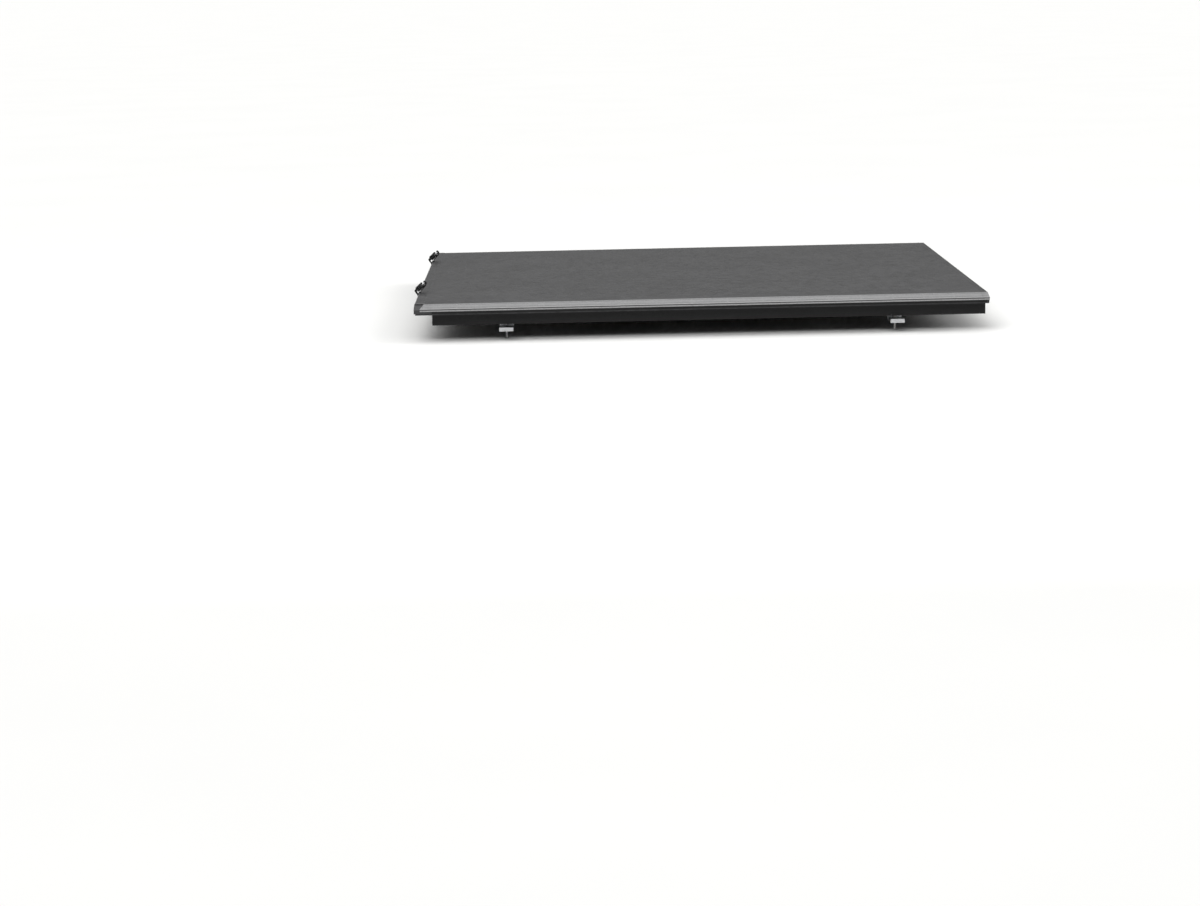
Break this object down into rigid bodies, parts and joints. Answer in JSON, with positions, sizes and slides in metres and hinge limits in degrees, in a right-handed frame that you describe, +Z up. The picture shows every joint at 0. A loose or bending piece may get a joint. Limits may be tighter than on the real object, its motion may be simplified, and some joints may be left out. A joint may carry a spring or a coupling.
{
  "type": "tonneau cover",
  "caption": "Soft roll-up pickup bed cover: vinyl skin on cross bows between clamped side rails, with a latching rear bar, header, straps and buckles.",
  "frame": {"origin": "middle of the plane in which the gaskets rest on the bed's caps and the tailgate", "axes": "+X towards the tailgate, -X towards the cab, +Z up, -Y towards the driver's side"},
  "size_m": [1.6554, 1.444, 0.144],
  "materials": {
    "skin": "leather-grain vinyl, satin",
    "black_extrusion": "black powder coat",
    "tape": "hook-and-loop tape",
    "seal": "matt foam rubber",
    "moulding": "grained black nylon",
    "alloy": "mill finish",
    "zinc": "zinc plated",
    "webbing": "woven polyester webbing",
    "buckle": "glossy black acetal"
  },
  "bodies": {
    "frame": {"cover_sheet_00": "skin", "rail_left": "black_extrusion", "rail_right": "black_extrusion", "hook_tape_left": "tape", "hook_tape_right": "tape", "bed_seal": "seal", "rail_end_cap_left": "moulding", "rail_end_cap_right": "moulding", "clamp_bracket_1": "alloy", "clamp_bracket_2": "alloy", "clamp_bracket_3": "alloy", "clamp_bracket_4": "alloy", "clamp_bolt_1": "zinc", "clamp_bolt_2": "zinc", "clamp_bolt_3": "zinc", "clamp_bolt_4": "zinc", "header_rail": "black_extrusion", "header_cap_left": "moulding", "header_cap_right": "moulding", "tension_screw_left": "zinc", "tension_screw_right": "zinc", "strap_left": "webbing", "strap_right": "webbing", "buckle_socket_left": "buckle", "buckle_socket_right": "buckle"},
    "roll_01": {"cover_sheet_01": "skin"},
    "roll_02": {"cover_sheet_02": "skin", "bow_1": "alloy"},
    "roll_03": {"cover_sheet_03": "skin"},
    "roll_04": {"cover_sheet_04": "skin"},
    "roll_05": {"cover_sheet_05": "skin"},
    "roll_06": {"cover_sheet_06": "skin", "bow_2": "alloy"},
    "roll_07": {"cover_sheet_07": "skin"},
    "roll_08": {"cover_sheet_08": "skin"},
    "roll_09": {"cover_sheet_09": "skin"},
    "roll_10": {"cover_sheet_10": "skin", "bow_3": "alloy"},
    "roll_11": {"cover_sheet_11": "skin"},
    "roll_12": {"cover_sheet_12": "skin"},
    "roll_13": {"cover_sheet_13": "skin"},
    "roll_14": {"cover_sheet_14": "skin"},
    "rear_bar": {"cover_sheet_rear": "skin", "rear_bar": "black_extrusion", "rear_cap_left": "moulding", "rear_cap_right": "moulding", "rear_seal": "seal", "latch_spring_left": "zinc", "latch_spring_right": "zinc", "latch_cable": "zinc"},
    "latch_left": {"latch_bolt_left": "zinc", "trigger_left": "buckle"},
    "latch_right": {"latch_bolt_right": "zinc", "trigger_right": "buckle"},
    "clamp_1": {"clamp_jaw_1": "alloy"},
    "clamp_2": {"clamp_jaw_2": "alloy"},
    "clamp_3": {"clamp_jaw_3": "alloy"},
    "clamp_4": {"clamp_jaw_4": "alloy"},
    "buckle_left": {"buckle_plug_left": "buckle"},
    "buckle_right": {"buckle_plug_right": "buckle"}
  },
  "joints": [
    {"name": "roll_01_bend", "type": "hinge", "parent": "frame", "child": "roll_01", "pos_m": [-0.62, 0, 0.0294], "axis": [0, -1, 0], "range_deg": [0, 51.42]},
    {"name": "roll_02_bend", "type": "hinge", "parent": "roll_01", "child": "roll_02", "pos_m": [-0.50728, 0, 0.0294], "axis": [0, -1, 0], "range_deg": [0, 51.43]},
    {"name": "roll_03_bend", "type": "hinge", "parent": "roll_02", "child": "roll_03", "pos_m": [-0.39669, 0, 0.0294], "axis": [0, -1, 0], "range_deg": [0, 51.43]},
    {"name": "roll_04_bend", "type": "hinge", "parent": "roll_03", "child": "roll_04", "pos_m": [-0.28824, 0, 0.0294], "axis": [0, -1, 0], "range_deg": [0, 51.43]},
    {"name": "roll_05_bend", "type": "hinge", "parent": "roll_04", "child": "roll_05", "pos_m": [-0.18192, 0, 0.0294], "axis": [0, -1, 0], "range_deg": [0, 51.43]},
    {"name": "roll_06_bend", "type": "hinge", "parent": "roll_05", "child": "roll_06", "pos_m": [-0.07773, 0, 0.0294], "axis": [0, -1, 0], "range_deg": [0, 51.43]},
    {"name": "roll_07_bend", "type": "hinge", "parent": "roll_06", "child": "roll_07", "pos_m": [0.02433, 0, 0.0294], "axis": [0, -1, 0], "range_deg": [0, 51.43]},
    {"name": "roll_08_bend", "type": "hinge", "parent": "roll_07", "child": "roll_08", "pos_m": [0.12425, 0, 0.0294], "axis": [0, -1, 0], "range_deg": [0, 51.43]},
    {"name": "roll_09_bend", "type": "hinge", "parent": "roll_08", "child": "roll_09", "pos_m": [0.22204, 0, 0.0294], "axis": [0, -1, 0], "range_deg": [0, 51.43]},
    {"name": "roll_10_bend", "type": "hinge", "parent": "roll_09", "child": "roll_10", "pos_m": [0.3177, 0, 0.0294], "axis": [0, -1, 0], "range_deg": [0, 51.43]},
    {"name": "roll_11_bend", "type": "hinge", "parent": "roll_10", "child": "roll_11", "pos_m": [0.41123, 0, 0.0294], "axis": [0, -1, 0], "range_deg": [0, 51.43]},
    {"name": "roll_12_bend", "type": "hinge", "parent": "roll_11", "child": "roll_12", "pos_m": [0.50262, 0, 0.0294], "axis": [0, -1, 0], "range_deg": [0, 51.43]},
    {"name": "roll_13_bend", "type": "hinge", "parent": "roll_12", "child": "roll_13", "pos_m": [0.59188, 0, 0.0294], "axis": [0, -1, 0], "range_deg": [0, 51.43]},
    {"name": "roll_14_bend", "type": "hinge", "parent": "roll_13", "child": "roll_14", "pos_m": [0.679, 0, 0.0294], "axis": [0, -1, 0], "range_deg": [0, 51.43]},
    {"name": "rear_bar_bend", "type": "hinge", "parent": "roll_14", "child": "rear_bar", "pos_m": [0.764, 0, 0.0294], "axis": [0, -1, 0], "range_deg": [0, 102.86]},
    {"name": "latch_left_pull", "type": "slide", "parent": "rear_bar", "child": "latch_left", "axis": [0, 1, 0], "range_m": [0, 0.012], "stiffness_N_per_m": 250, "deforming": ["latch_spring_left", "latch_cable"]},
    {"name": "latch_right_pull", "type": "slide", "parent": "rear_bar", "child": "latch_right", "axis": [0, -1, 0], "range_m": [0, 0.012], "stiffness_N_per_m": 250, "deforming": ["latch_spring_right", "latch_cable"]},
    {"name": "clamp_1_open", "type": "slide", "parent": "frame", "child": "clamp_1", "axis": [0, 0, -1], "range_m": [0, 0.022]},
    {"name": "clamp_2_open", "type": "slide", "parent": "frame", "child": "clamp_2", "axis": [0, 0, -1], "range_m": [0, 0.022]},
    {"name": "clamp_3_open", "type": "slide", "parent": "frame", "child": "clamp_3", "axis": [0, 0, -1], "range_m": [0, 0.022]},
    {"name": "clamp_4_open", "type": "slide", "parent": "frame", "child": "clamp_4", "axis": [0, 0, -1], "range_m": [0, 0.022]},
    {"name": "buckle_left_release", "type": "slide", "parent": "frame", "child": "buckle_left", "axis": [0.7071, 0, 0.7071], "range_m": [0, 0.012], "deforming": ["strap_left"]},
    {"name": "buckle_right_release", "type": "slide", "parent": "frame", "child": "buckle_right", "axis": [0.7071, 0, 0.7071], "range_m": [0, 0.012], "deforming": ["strap_right"]}
  ],
  "couplings": [
    {"joint": "roll_02_bend", "follows": "roll_01_bend", "ratio": 1},
    {"joint": "roll_03_bend", "follows": "roll_01_bend", "ratio": 1},
    {"joint": "roll_04_bend", "follows": "roll_01_bend", "ratio": 1},
    {"joint": "roll_05_bend", "follows": "roll_01_bend", "ratio": 1},
    {"joint": "roll_06_bend", "follows": "roll_01_bend", "ratio": 1},
    {"joint": "roll_07_bend", "follows": "roll_01_bend", "ratio": 1},
    {"joint": "roll_08_bend", "follows": "roll_01_bend", "ratio": 1},
    {"joint": "roll_09_bend", "follows": "roll_01_bend", "ratio": 1},
    {"joint": "roll_10_bend", "follows": "roll_01_bend", "ratio": 1},
    {"joint": "roll_11_bend", "follows": "roll_01_bend", "ratio": 1},
    {"joint": "roll_12_bend", "follows": "roll_01_bend", "ratio": 1},
    {"joint": "roll_13_bend", "follows": "roll_01_bend", "ratio": 1},
    {"joint": "roll_14_bend", "follows": "roll_01_bend", "ratio": 1},
    {"joint": "rear_bar_bend", "follows": "roll_01_bend", "ratio": 2},
    {"joint": "latch_right_pull", "follows": "latch_left_pull", "ratio": 1}
  ]
}
